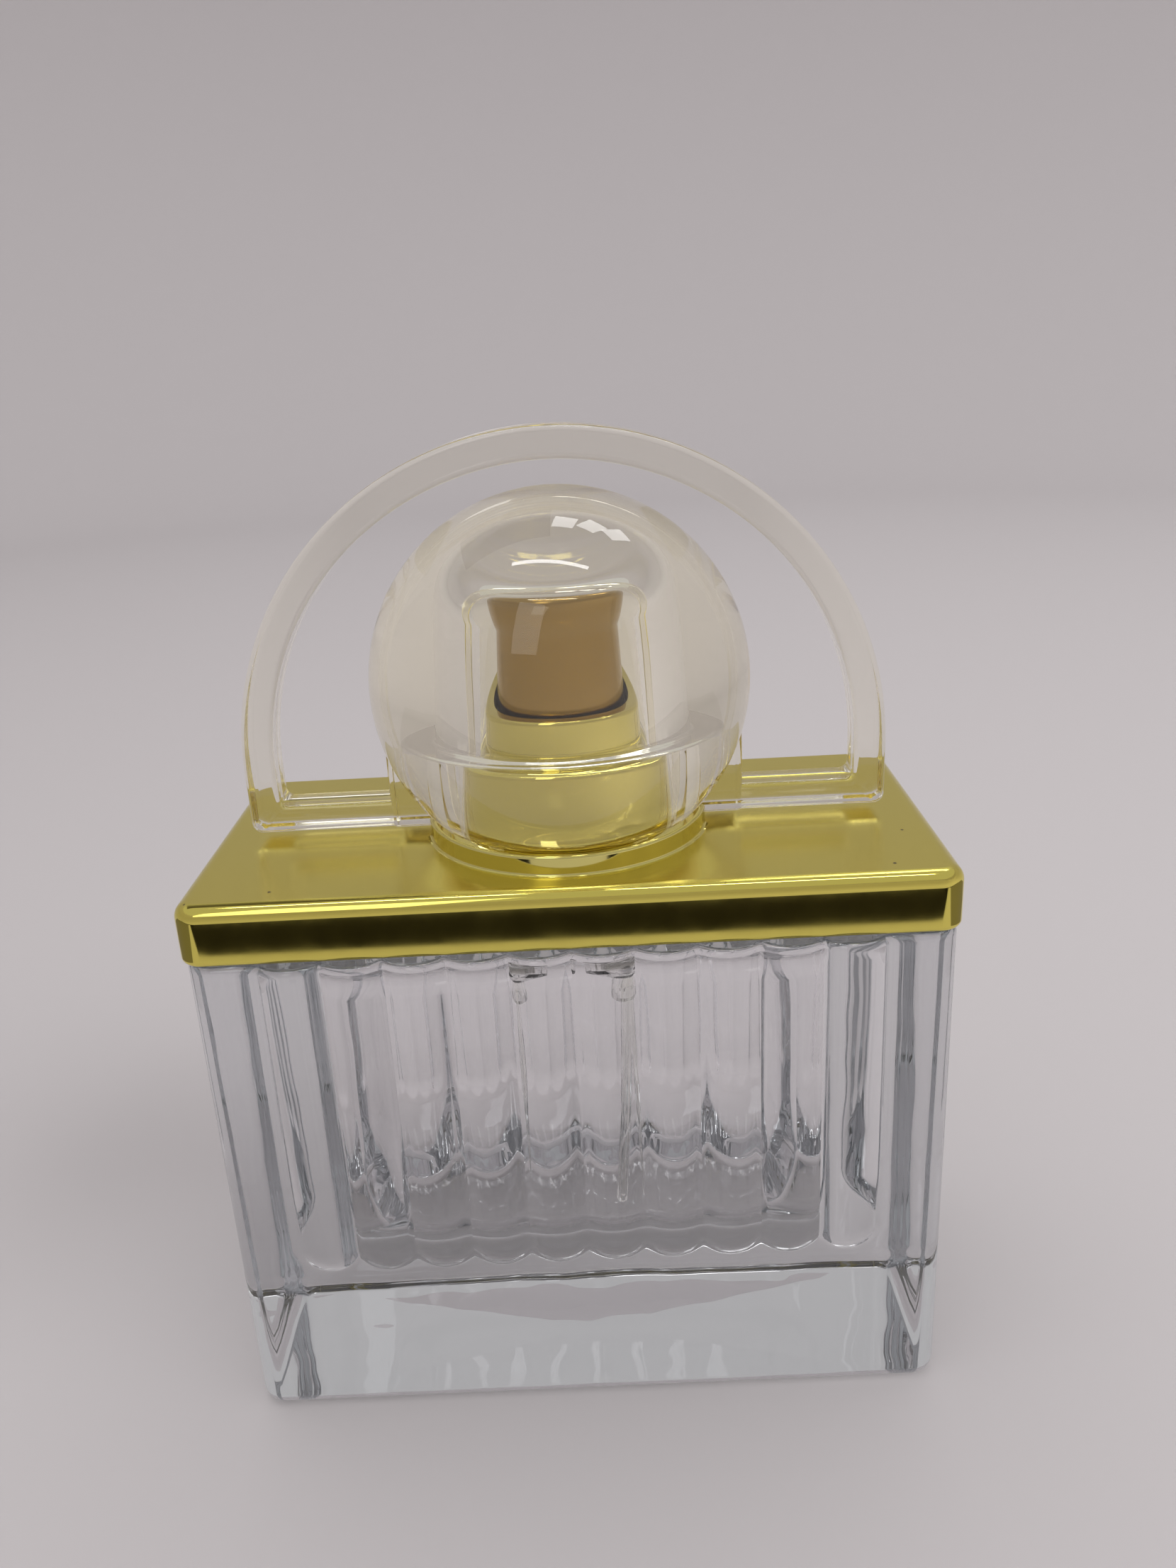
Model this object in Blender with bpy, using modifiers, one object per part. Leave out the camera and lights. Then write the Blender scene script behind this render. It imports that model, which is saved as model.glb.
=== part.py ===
"""Perfume bottle: ribbed thick glass, gold shoulder plate, crimped spray pump and clear dome cap.

The origin is the centre of the flat base, +Z is up and -Y is the front. Sizes are millimetres
in the constants below and metres in the scene.
"""

import math

import bmesh
import bpy
from mathutils import Matrix, Vector

MM = 0.001
GAP = 0.3  # clearance left between pieces that touch

# Glass body
GLASS_WIDTH = 69.6
GLASS_DEPTH = 32.8
GLASS_HEIGHT = 51.0
GLASS_CORNER = 2.6
GLASS_FOOT_ROUND = 1.6
GLASS_SHOULDER_ROUND = 0.7
RIB_COUNT = 10
RIB_PITCH = 5.6
RIB_BULGE = 1.1
RIB_CREASE = 0.15  # how far the creases stand proud of the flat face
RIB_FOOT = 17.4
HOLLOW_WIDTH = 55.2
HOLLOW_DEPTH = 22.4
HOLLOW_FLOOR = 12.5
HOLLOW_ROOF = 48.6
HOLLOW_CORNER = 9.4
HOLLOW_FLOOR_ROUND = 9.0
HOLLOW_ROOF_ROUND = 3.0
NECK_TOP = 60.6
NECK_RADIUS = 6.5
BEAD_RADIUS = 7.4
BORE_RADIUS = 4.75

# Gold shoulder plate with its raised cap seat
PLATE_WIDTH = 70.0
PLATE_DEPTH = 33.7
PLATE_FOOT = GLASS_HEIGHT + GAP
PLATE_TOP = 57.1
PLATE_WALL = 1.4
PLATE_CORNER = 2.3
PLATE_EDGE_ROUND = 1.4
PLATE_LIP_ROUND = 0.8
PLATE_HOLE = 9.0
PLATE_BOSS = 12.6
SEAT_OUTER = 13.6
SEAT_INNER = 12.0
SEAT_TOP = PLATE_TOP + 1.95
KEY_HALF = 2.5  # half width of the two keyways in the seat

# Gold collar over the crimp
COLLAR_FOOT = PLATE_TOP + GAP
COLLAR_STEP = PLATE_TOP + 9.8
COLLAR_TOP = PLATE_TOP + 13.3
COLLAR_LOWER = 9.6
COLLAR_UPPER = 7.5
COLLAR_MOUTH = 6.85
COLLAR_WALL = 0.5
FERRULE_RADIUS = BEAD_RADIUS + 0.55

# Push button
BUTTON_RADIUS = 6.25
BUTTON_FOOT = 69.7
BUTTON_TOP = 79.6
BUTTON_WALL = 0.5
NOZZLE_HEIGHT = 76.2
NOZZLE_RADIUS = 1.6
NOZZLE_BACK = 3.3
NOZZLE_FACE = 6.15

# Pump
STEM_RADIUS = 1.6
STEM_BORE = 0.5
STEM_FOOT = 56.7
STEM_TOP = 73.0
BODY_RADIUS = 4.3
BODY_BORE = 3.3
BODY_FLOOR = 45.9
NIPPLE_FOOT = 38.5
NIPPLE_RADIUS = 2.0
BALL_RADIUS = 1.0
BALL_CENTRE = 45.54
SPRING_FOOT = 48.4
SPRING_TOP = 55.0
SPRING_RADIUS = 2.2
SPRING_WIRE = 0.28
SPRING_TURNS = 4
SPRING_POINTS = 10  # points on each turn
TUBE_RADIUS = 0.9
TUBE_BORE = 0.5
TUBE_TOP = 42.7
TUBE_FOOT = 13.4
TUBE_LEAN = 2.6  # how far the tip of the dip tube bows sideways

# Clear cap
DOME_RADIUS = 18.0
DOME_CENTRE = PLATE_TOP + 14.6
DOME_FOOT = SEAT_TOP + GAP
DOME_LOWER_BORE = COLLAR_LOWER + 0.5
DOME_UPPER_BORE = COLLAR_UPPER + 0.5
DOME_STEP = COLLAR_STEP + 0.7
DOME_CEILING = PLATE_TOP + 23.2
LUG_INNER = 12.5
LUG_OUTER = 17.1
LUG_HALF = 2.2
CAP_FOOT = PLATE_TOP + 0.9
ARCH_CENTRE = PLATE_TOP + 7.1
ARCH_OUTER = 30.9
ARCH_INNER = 27.9
ARCH_DEPTH = 4.0
ARCH_EDGE_ROUND = 0.5
ARCH_FOOT_ROUND = 1.0
BAR_TOP = PLATE_TOP + 3.6

TURN_STEPS = 40
SMALL_STEPS = 24


def clear_scene():
    for old in list(bpy.data.objects):
        bpy.data.objects.remove(old, do_unlink=True)


def make_collection(name):
    made = bpy.data.collections.new(name)
    bpy.context.scene.collection.children.link(made)
    return made


def finish(name, colour, roughness, metallic=0.0, transmission=0.0, ior=1.5):
    """A Principled material from an 8-bit colour as it looks in daylight."""
    made = bpy.data.materials.new(name)
    made.use_nodes = True
    shader = made.node_tree.nodes["Principled BSDF"]
    linear = [(channel / 255) ** 2.2 for channel in colour]
    shader.inputs["Base Color"].default_value = (*linear, 1.0)
    shader.inputs["Roughness"].default_value = roughness
    shader.inputs["Metallic"].default_value = metallic
    shader.inputs["Transmission Weight"].default_value = transmission
    shader.inputs["IOR"].default_value = ior
    return made


def add_object(name, data, collection, material=None):
    made = bpy.data.objects.new(name, data)
    collection.objects.link(made)
    if material:
        data.materials.append(material)
    return made


def as_helper(made):
    """Marks a shape that only cuts or joins others."""
    made.hide_render = True
    made.display_type = "WIRE"
    return made


def arc(centre_r, centre_z, radius, start, end, steps):
    """Points on a circle in the (radius, height) plane, angles in degrees from +r."""
    angles = [math.radians(start + (end - start) * i / steps) for i in range(steps + 1)]
    return [(centre_r + radius * math.cos(a), centre_z + radius * math.sin(a)) for a in angles]


def turned(name, profile, collection, material=None, steps=TURN_STEPS, closed=True):
    """A profile of (radius, height) points, down its outer side, turned about the Z axis."""
    mesh = bpy.data.meshes.new(name)
    points = [(r * MM, 0.0, z * MM) for r, z in profile]
    edges = [(i, i + 1) for i in range(len(points) - 1)]
    if closed:
        edges.append((len(points) - 1, 0))
    mesh.from_pydata(points, edges, [])
    made = add_object(name, mesh, collection, material)
    screw = made.modifiers.new("turn", "SCREW")
    screw.steps = steps
    screw.render_steps = steps
    screw.use_merge_vertices = True
    screw.merge_threshold = 0.00001
    screw.use_smooth_shade = True
    return made


def rounded_box(name, centre, size, rounds, segments, collection, material=None):
    """A box whose upright, top and bottom edges are rounded by the three radii in rounds."""
    upright, top, bottom = [radius * MM for radius in rounds]
    low = (centre[2] - size[2] / 2) * MM
    high = (centre[2] + size[2] / 2) * MM
    box = bmesh.new()
    bmesh.ops.create_cube(box, size=1.0)
    bmesh.ops.scale(box, vec=Vector(size) * MM, verts=box.verts)
    bmesh.ops.translate(box, vec=Vector(centre) * MM, verts=box.verts)

    def round_edges(radius, wanted):
        chosen = [edge for edge in box.edges if wanted(edge)]
        if radius > 0:
            bmesh.ops.bevel(
                box, geom=chosen, offset=radius, segments=segments, profile=0.5, affect="EDGES"
            )

    def is_upright(edge):
        return abs(edge.verts[0].co.z - edge.verts[1].co.z) > 0.5 * (high - low)

    def lies_at(height):
        return lambda edge: all(abs(vert.co.z - height) < 1e-6 for vert in edge.verts)

    round_edges(upright, is_upright)
    round_edges(top, lies_at(high))
    round_edges(bottom, lies_at(low))
    mesh = bpy.data.meshes.new(name)
    box.to_mesh(mesh)
    box.free()
    mesh.shade_smooth()
    mesh.set_sharp_from_angle(angle=math.radians(40))
    return add_object(name, mesh, collection, material)


def combine(target, operation, helpers):
    """One exact Boolean of target with every shape in the collection helpers."""
    modifier = target.modifiers.new(operation.lower(), "BOOLEAN")
    modifier.operation = operation
    modifier.solver = "EXACT"
    modifier.operand_type = "COLLECTION"
    modifier.collection = helpers
    for shape in helpers.objects:
        as_helper(shape)


def rod(name, radius, start, end, collection):
    """A round bar between two points, used as a cutter."""
    first, last = Vector(start) * MM, Vector(end) * MM
    along = last - first
    bar = bmesh.new()
    turn = along.to_track_quat("Z", "Y").to_matrix().to_4x4()
    bmesh.ops.create_cone(
        bar,
        cap_ends=True,
        segments=SMALL_STEPS,
        radius1=radius * MM,
        radius2=radius * MM,
        depth=along.length,
        matrix=Matrix.Translation((first + last) / 2) @ turn,
    )
    mesh = bpy.data.meshes.new(name)
    bar.to_mesh(mesh)
    bar.free()
    return add_object(name, mesh, collection)


def rib_shapes(collection):
    """Upright half-sunk rods with a ball foot, whose sides meet in creases one pitch apart."""
    half = RIB_PITCH / 2
    radius = (half**2 + RIB_BULGE**2) / (2 * RIB_BULGE)
    sunk = GLASS_DEPTH / 2 + RIB_CREASE + RIB_BULGE - radius
    ball = RIB_FOOT + half
    top = GLASS_HEIGHT - 0.05  # just under the glass shoulder, so no faces coincide
    crown = 0.7
    shoulder = arc(radius - crown, top - crown, crown, 90, 0, 2)
    foot = arc(0, ball, radius, 0, -90, 6)
    profile = [(0, top)] + shoulder + foot[:-1] + [(0, ball - radius)]
    first = -RIB_PITCH * (RIB_COUNT - 1) / 2
    for side in (-1, 1):
        for number in range(RIB_COUNT):
            name = f"rib_{'front' if side < 0 else 'back'}_{number + 1}"
            rib = turned(name, profile, collection, steps=SMALL_STEPS, closed=False)
            rib.location = (
                (first + number * RIB_PITCH) * MM,
                side * sunk * MM,
                0.0,
            )


def glass_bottle(parts, helpers, material):
    size = (GLASS_WIDTH, GLASS_DEPTH, GLASS_HEIGHT)
    rounds = (GLASS_CORNER, GLASS_SHOULDER_ROUND, GLASS_FOOT_ROUND)
    body = rounded_box("glass_bottle", (0, 0, GLASS_HEIGHT / 2), size, rounds, 4, parts, material)
    added = helpers("glass_added")
    rib_shapes(added)
    rim = 0.6
    fillet = 1.5
    root = GLASS_HEIGHT - 2.0  # sunk in the body so that the union is clear
    neck = [
        (0, NECK_TOP),
        *arc(BEAD_RADIUS - rim, NECK_TOP - rim, rim, 90, 0, 2),
        (BEAD_RADIUS, NECK_TOP - 2.6),
        (NECK_RADIUS, NECK_TOP - 3.6),
        (NECK_RADIUS, GLASS_HEIGHT + fillet),
        *arc(NECK_RADIUS + fillet, GLASS_HEIGHT + fillet, fillet, 180, 260, 2),
        (NECK_RADIUS + fillet, root),
        (0, root),
    ]
    turned("neck", neck, added, steps=SMALL_STEPS, closed=False)
    combine(body, "UNION", added)

    removed = helpers("glass_removed")
    height = HOLLOW_ROOF - HOLLOW_FLOOR
    middle = (0, 0, (HOLLOW_ROOF + HOLLOW_FLOOR) / 2)
    hollow = (HOLLOW_WIDTH, HOLLOW_DEPTH, height)
    rounds = (HOLLOW_CORNER, HOLLOW_ROOF_ROUND, HOLLOW_FLOOR_ROUND)
    rounded_box("hollow", middle, hollow, rounds, 4, removed)
    flare = 2.5
    funnel = [
        (0, NECK_TOP + 1),
        (BORE_RADIUS, NECK_TOP + 1),
        (BORE_RADIUS, HOLLOW_ROOF + flare),
        *arc(BORE_RADIUS + flare, HOLLOW_ROOF + flare, flare, 180, 250, 3),
        (BORE_RADIUS + 1.6, HOLLOW_ROOF - flare),
        (0, HOLLOW_ROOF - flare),
    ]
    turned("bore", funnel, removed, steps=SMALL_STEPS, closed=False)
    combine(body, "DIFFERENCE", removed)


def shoulder_plate(parts, helpers, material):
    height = PLATE_TOP - PLATE_FOOT
    middle = (0, 0, (PLATE_TOP + PLATE_FOOT) / 2)
    size = (PLATE_WIDTH, PLATE_DEPTH, height)
    rounds = (PLATE_CORNER, PLATE_EDGE_ROUND, PLATE_LIP_ROUND)
    plate = rounded_box("shoulder_plate", middle, size, rounds, 4, parts, material)

    under = helpers("plate_underside")
    inner = (
        PLATE_WIDTH - 2 * PLATE_WALL,
        PLATE_DEPTH - 2 * PLATE_WALL,
        2 * (height - PLATE_WALL),
    )
    rounded_box("underside", (0, 0, PLATE_FOOT), inner, (1.2, 0.8, 0), 2, under)
    combine(plate, "DIFFERENCE", under)

    added = helpers("plate_added")
    seat_low = PLATE_TOP - 0.8
    seat = [
        *arc(SEAT_OUTER - 0.25, SEAT_TOP - 0.25, 0.25, 90, 0, 2),
        (SEAT_OUTER, PLATE_TOP + 0.2),
        (SEAT_OUTER + 0.2, PLATE_TOP),
        (SEAT_OUTER + 0.2, seat_low),
        (SEAT_INNER, seat_low),
        (SEAT_INNER, SEAT_TOP),
    ]
    turned("seat", seat, added)
    boss = [
        (PLATE_BOSS, PLATE_TOP - 0.7),
        (PLATE_BOSS, PLATE_FOOT + 0.1),
        (PLATE_HOLE - 1, PLATE_FOOT + 0.1),
        (PLATE_HOLE - 1, PLATE_TOP - 0.7),
    ]
    turned("boss", boss, added)
    combine(plate, "UNION", added)

    cuts = helpers("plate_cuts")
    rod("pump_hole", PLATE_HOLE, (0, 0, PLATE_FOOT - 2), (0, 0, PLATE_TOP + 4), cuts)
    key_tall = 4.0
    key_floor = PLATE_TOP + 0.15  # a thin skin over the plate, so no faces coincide
    key_size = (4 * SEAT_OUTER, 2 * KEY_HALF, key_tall)
    rounded_box("keyways", (0, 0, key_floor + key_tall / 2), key_size, (0, 0, 0), 1, cuts)
    combine(plate, "DIFFERENCE", cuts)


def collar_shell(parts, material):
    step_round = 0.5
    fillet = 0.9
    profile = [
        (COLLAR_MOUTH, COLLAR_TOP),
        *arc(COLLAR_UPPER - step_round, COLLAR_TOP - step_round, step_round, 90, 0, 2),
        *arc(COLLAR_UPPER + fillet, COLLAR_STEP + fillet, fillet, 180, 270, 3),
        *arc(COLLAR_LOWER - step_round, COLLAR_STEP - step_round, step_round, 90, 0, 2),
        (COLLAR_LOWER, COLLAR_FOOT),
        (COLLAR_LOWER - COLLAR_WALL, COLLAR_FOOT),
        (COLLAR_LOWER - COLLAR_WALL, COLLAR_STEP - COLLAR_WALL),
        (COLLAR_UPPER - COLLAR_WALL, COLLAR_STEP - COLLAR_WALL),
        (COLLAR_UPPER - COLLAR_WALL, COLLAR_TOP - COLLAR_WALL),
        (COLLAR_MOUTH, COLLAR_TOP - COLLAR_WALL),
    ]
    turned("collar_shell", profile, parts, material)


def crimp_pieces(parts, liner_material, metal, seal_material):
    """The liner, the ferrule that grips the neck bead, and the flat seal on the neck."""
    liner_outer = COLLAR_LOWER - COLLAR_WALL - GAP
    liner_top = COLLAR_STEP - COLLAR_WALL - GAP
    liner_inner = FERRULE_RADIUS + GAP
    liner = [
        (liner_outer, liner_top),
        (liner_outer, COLLAR_FOOT),
        (liner_inner, COLLAR_FOOT),
        (liner_inner, liner_top),
    ]
    turned("collar_liner", liner, parts, liner_material, steps=SMALL_STEPS)

    ferrule_top = NECK_TOP + 3.9
    sheet = 0.3
    edge = 0.5
    wall = FERRULE_RADIUS
    curl = NECK_TOP - 4.1
    grip = BEAD_RADIUS - 0.5
    mouth = 3.4
    ferrule = [
        *arc(wall - edge, ferrule_top - edge, edge, 90, 0, 2),
        (wall, curl + sheet),
        (wall - sheet, curl),
        (grip, curl),
        (grip, curl + sheet),
        (wall - sheet, curl + sheet + 0.2),
        (wall - sheet, ferrule_top - edge),
        (mouth, ferrule_top - edge),
        (mouth, ferrule_top),
    ]
    turned("crimp_ferrule", ferrule, parts, metal, steps=SMALL_STEPS)

    seal = [
        (BEAD_RADIUS - 0.1, NECK_TOP + 1.0),
        (BEAD_RADIUS - 0.1, NECK_TOP + GAP),
        (BORE_RADIUS + 0.05, NECK_TOP + GAP),
        (BORE_RADIUS + 0.05, NECK_TOP + 1.0),
    ]
    turned("neck_gasket", seal, parts, seal_material, steps=SMALL_STEPS)


def pump_fixed(parts, plastic, seal_material):
    """The pump body hanging in the neck, its turret, the stem seal and the ball cage."""
    flange_top = NECK_TOP + 2.1
    flange_foot = NECK_TOP + 1.3
    flange = BEAD_RADIUS - 0.1
    body = [
        (flange, flange_top),
        (flange, flange_foot),
        (BODY_RADIUS, flange_foot),
        (BODY_RADIUS, BODY_FLOOR - 0.7),
        (NIPPLE_RADIUS, BODY_FLOOR - 2.5),
        (NIPPLE_RADIUS, NIPPLE_FOOT),
        (TUBE_RADIUS + GAP, NIPPLE_FOOT),
        (TUBE_RADIUS + GAP, TUBE_TOP + GAP),
        (0.7, TUBE_TOP + GAP),
        (0.7, BODY_FLOOR - 1.5),
        (2.2, BODY_FLOOR),
        (BODY_BORE, BODY_FLOOR),
        (BODY_BORE, flange_top),
    ]
    turned("pump_housing", body, parts, plastic, steps=SMALL_STEPS)

    turret_flange = flange_top + GAP
    turret = [
        (3.0, NECK_TOP + 4.8),
        (3.0, turret_flange + 0.7),
        (flange, turret_flange + 0.7),
        (flange, turret_flange),
        (3.0, turret_flange),
        (3.0, NECK_TOP - 0.5),
        (STEM_RADIUS + GAP, NECK_TOP - 0.5),
        (STEM_RADIUS + GAP, NECK_TOP + 4.8),
    ]
    turned("pump_turret", turret, parts, plastic, steps=SMALL_STEPS)

    seal = [
        (2.9, NECK_TOP - 0.8),
        (2.9, NECK_TOP - 1.4),
        (STEM_RADIUS + GAP, NECK_TOP - 1.4),
        (STEM_RADIUS + GAP, NECK_TOP - 0.8),
    ]
    turned("stem_seal", seal, parts, seal_material, steps=SMALL_STEPS)

    cage_top = SPRING_FOOT - GAP
    cage = [
        (3.0, cage_top),
        (3.0, BODY_FLOOR + GAP),
        (2.5, BODY_FLOOR + GAP),
        (2.5, cage_top - 0.6),
        (0.6, cage_top - 0.6),
        (0.6, cage_top),
    ]
    turned("ball_cage", cage, parts, plastic, steps=SMALL_STEPS)


def pump_moving(parts, plastic, steel):
    """The stem, the lipped piston below it and the steel inlet ball."""
    stem = [(STEM_RADIUS, STEM_TOP), (STEM_RADIUS, STEM_FOOT), (STEM_BORE, STEM_FOOT), (STEM_BORE, STEM_TOP)]
    turned("pump_stem", stem, parts, plastic, steps=SMALL_STEPS)

    top, foot = STEM_FOOT + 2.2, SPRING_TOP + GAP
    lip, waist = 3.0, 2.6
    piston = [
        (lip, top),
        (lip, top - 0.6),
        (waist, top - 1.0),
        (waist, foot + 1.0),
        (lip, foot + 0.6),
        (lip, foot),
        (STEM_BORE, foot),
        (STEM_BORE, STEM_FOOT - GAP),
        (STEM_RADIUS + GAP, STEM_FOOT - GAP),
        (STEM_RADIUS + GAP, top),
    ]
    turned("pump_piston", piston, parts, plastic, steps=SMALL_STEPS)

    half_circle = arc(0, BALL_CENTRE, BALL_RADIUS, 90, -90, 8)
    turned("inlet_ball", half_circle, parts, steel, steps=12, closed=False)


def wire(name, points, radius, resolution, collection, material=None):
    """A round wire through points, with filled ends."""
    curve = bpy.data.curves.new(name, "CURVE")
    curve.dimensions = "3D"
    curve.bevel_depth = radius * MM
    curve.bevel_resolution = resolution
    curve.use_fill_caps = True
    spline = curve.splines.new("POLY")
    spline.points.add(len(points) - 1)
    for place, point in zip(spline.points, points):
        place.co = (*(Vector(point) * MM), 1.0)
    return add_object(name, curve, collection, material)


def pump_spring(parts, steel):
    """An open coil whose turns rise at a steady rate; its tightest gap is printed."""
    low, high = SPRING_FOOT + SPRING_WIRE, SPRING_TOP - SPRING_WIRE
    count = SPRING_TURNS * SPRING_POINTS
    points = []
    for i in range(count + 1):
        angle = 2 * math.pi * i / SPRING_POINTS
        height = low + (high - low) * i / count
        points.append(Vector((SPRING_RADIUS * math.cos(angle), SPRING_RADIUS * math.sin(angle), height)))
    least = min(
        (a - b).length - 2 * SPRING_WIRE
        for i, a in enumerate(points)
        for b in points[i + SPRING_POINTS // 2 :]
    )
    print(f"pump_spring least gap between turns: {least:.2f} mm")
    wire("pump_spring", points, SPRING_WIRE, 1, parts, steel)


def dip_tube(parts, helpers, plastic):
    """A thin hollow tube from the pump nipple to just over the glass floor, bowed a little."""
    steps = 10
    route = []
    for i in range(steps + 1):
        drop = i / steps
        bow = TUBE_LEAN * max(0.0, drop - 0.25) ** 2
        route.append((bow, 0.0, TUBE_TOP + (TUBE_FOOT - TUBE_TOP) * drop))
    above = (0.0, 0.0, TUBE_TOP + 1.0)
    slope = Vector(route[-1]) - Vector(route[-2])
    below = tuple(Vector(route[-1]) + slope * 0.5)
    cut = helpers("tube_bore")
    outside = wire("dip_tube", route, TUBE_RADIUS, 2, parts, plastic)
    inside = wire("tube_inside", [above, *route, below], TUBE_BORE, 1, cut)
    tube = as_mesh(outside, parts)
    as_mesh(inside, cut)
    combine(tube, "DIFFERENCE", cut)


def as_mesh(curve_object, collection):
    """Swaps a curve object for a mesh object with its caps welded on."""
    name = curve_object.name
    material = curve_object.data.materials[0] if curve_object.data.materials else None
    bpy.context.view_layer.update()
    graph = bpy.context.evaluated_depsgraph_get()
    mesh = bpy.data.meshes.new_from_object(curve_object.evaluated_get(graph))
    place = curve_object.matrix_world.copy()
    bpy.data.objects.remove(curve_object, do_unlink=True)
    welded = bmesh.new()
    welded.from_mesh(mesh)
    bmesh.ops.remove_doubles(welded, verts=welded.verts, dist=1e-7)
    bmesh.ops.recalc_face_normals(welded, faces=welded.faces)
    welded.to_mesh(mesh)
    welded.free()
    mesh.materials.clear()
    made = add_object(name, mesh, collection, material)
    made.matrix_world = place
    return made


def push_button(parts, helpers, gold, plastic):
    """The gold sleeve, the moulded core inside it and the nozzle pressed into its back."""
    edge = 0.6
    inner = BUTTON_RADIUS - BUTTON_WALL
    shell = [
        (0, BUTTON_TOP - 0.35),
        (4.6, BUTTON_TOP - 0.2),
        *arc(BUTTON_RADIUS - edge, BUTTON_TOP - edge, edge, 90, 0, 3),
        (BUTTON_RADIUS, BUTTON_FOOT),
        (inner, BUTTON_FOOT),
        (inner, BUTTON_TOP - 1.0),
        (0, BUTTON_TOP - 1.0),
    ]
    sleeve = turned("actuator_shell", shell, parts, gold, closed=False)
    pocket = NOZZLE_RADIUS + GAP
    window = helpers("nozzle_window")
    rod("window", pocket, (0, NOZZLE_BACK, NOZZLE_HEIGHT), (0, BUTTON_RADIUS + 2, NOZZLE_HEIGHT), window)
    combine(sleeve, "DIFFERENCE", window)

    core_radius = inner - GAP
    core_top = BUTTON_TOP - 1.0 - GAP
    core_foot = BUTTON_FOOT + 0.6
    socket = STEM_RADIUS + GAP
    core = [
        (0, core_top),
        (core_radius, core_top),
        (core_radius, core_foot),
        (socket, core_foot),
        (socket, STEM_TOP + GAP),
        (0, STEM_TOP + GAP),
    ]
    moulding = turned("actuator_core", core, parts, plastic, steps=SMALL_STEPS, closed=False)
    ducts = helpers("core_ducts")
    back = NOZZLE_BACK - GAP
    rod("core_pocket", pocket, (0, back, NOZZLE_HEIGHT), (0, BUTTON_RADIUS + 2, NOZZLE_HEIGHT), ducts)
    rod("core_riser", STEM_BORE, (0, 0, STEM_TOP), (0, 0, NOZZLE_HEIGHT + STEM_BORE), ducts)
    rod("core_cross", STEM_BORE, (0, -0.2, NOZZLE_HEIGHT), (0, back + 0.4, NOZZLE_HEIGHT), ducts)
    combine(moulding, "DIFFERENCE", ducts)

    length = NOZZLE_FACE - NOZZLE_BACK
    insert = [
        (0, length - 0.7),
        (0.35, length - 0.7),
        (0.9, length),
        *arc(NOZZLE_RADIUS - 0.2, length - 0.2, 0.2, 90, 0, 2),
        (NOZZLE_RADIUS, 0),
        (0, 0),
    ]
    nozzle = turned("spray_nozzle", insert, parts, plastic, steps=SMALL_STEPS, closed=False)
    nozzle.rotation_euler = (math.radians(-90), 0, 0)
    nozzle.location = (0, NOZZLE_BACK * MM, NOZZLE_HEIGHT * MM)


def cap_dome(parts, helpers, clear):
    """A thick ball with a stepped bore, standing on the seat, with two lugs for the handle."""
    lowest = math.degrees(math.asin((DOME_FOOT + GAP - DOME_CENTRE) / DOME_RADIUS))
    outside = arc(0, DOME_CENTRE, DOME_RADIUS, 90, lowest, 14)
    ceiling_round = 3.0
    ceiling = arc(
        DOME_UPPER_BORE - ceiling_round, DOME_CEILING - ceiling_round, ceiling_round, 0, 90, 3
    )
    profile = [
        (0, DOME_CENTRE + DOME_RADIUS),
        *outside[1:],
        (outside[-1][0] - 0.3, DOME_FOOT),
        (DOME_LOWER_BORE, DOME_FOOT),
        (DOME_LOWER_BORE, DOME_STEP),
        (DOME_UPPER_BORE, DOME_STEP),
        *ceiling,
        (0, DOME_CEILING),
    ]
    dome = turned("cap_dome", profile, parts, clear, closed=False)
    lugs = helpers("cap_lugs")
    lug_top = DOME_CENTRE - 4.0
    for side in (-1, 1):
        middle = (side * (LUG_INNER + LUG_OUTER) / 2, 0, (CAP_FOOT + lug_top) / 2)
        size = (LUG_OUTER - LUG_INNER, 2 * LUG_HALF, lug_top - CAP_FOOT)
        rounded_box(f"lug_{'left' if side < 0 else 'right'}", middle, size, (0.6, 0, 0.4), 2, lugs)
    combine(dome, "UNION", lugs)


def cap_handle(parts, clear):
    """A shackle: half ring on straight legs, with foot bars running in to the lugs."""
    reach = LUG_OUTER + GAP
    steps = 28
    foot = CAP_FOOT + ARCH_FOOT_ROUND
    corner = ARCH_OUTER - ARCH_FOOT_ROUND
    inside = 0.8
    outline = [
        (reach, CAP_FOOT),
        *arc(corner, foot, ARCH_FOOT_ROUND, -90, 0, 3),
        *arc(0, ARCH_CENTRE, ARCH_OUTER, 0, 180, steps),
        *arc(-corner, foot, ARCH_FOOT_ROUND, 180, 270, 3),
        (-reach, CAP_FOOT),
        (-reach, BAR_TOP),
        *arc(inside - ARCH_INNER, BAR_TOP + inside, inside, 270, 180, 3),
        *arc(0, ARCH_CENTRE, ARCH_INNER, 180, 0, steps),
        *arc(ARCH_INNER - inside, BAR_TOP + inside, inside, 0, -90, 3),
        (reach, BAR_TOP),
    ]
    curve = bpy.data.curves.new("cap_handle", "CURVE")
    curve.dimensions = "2D"
    curve.fill_mode = "BOTH"
    curve.extrude = (ARCH_DEPTH / 2 - ARCH_EDGE_ROUND) * MM
    curve.bevel_depth = ARCH_EDGE_ROUND * MM
    curve.bevel_resolution = 1
    curve.offset = -ARCH_EDGE_ROUND * MM
    spline = curve.splines.new("POLY")
    spline.points.add(len(outline) - 1)
    for place, (x, z) in zip(spline.points, outline):
        place.co = (x * MM, z * MM, 0.0, 1.0)
    spline.use_cyclic_u = True
    handle = add_object("cap_handle", curve, parts, clear)
    handle.rotation_euler = (math.radians(90), 0, 0)


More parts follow.
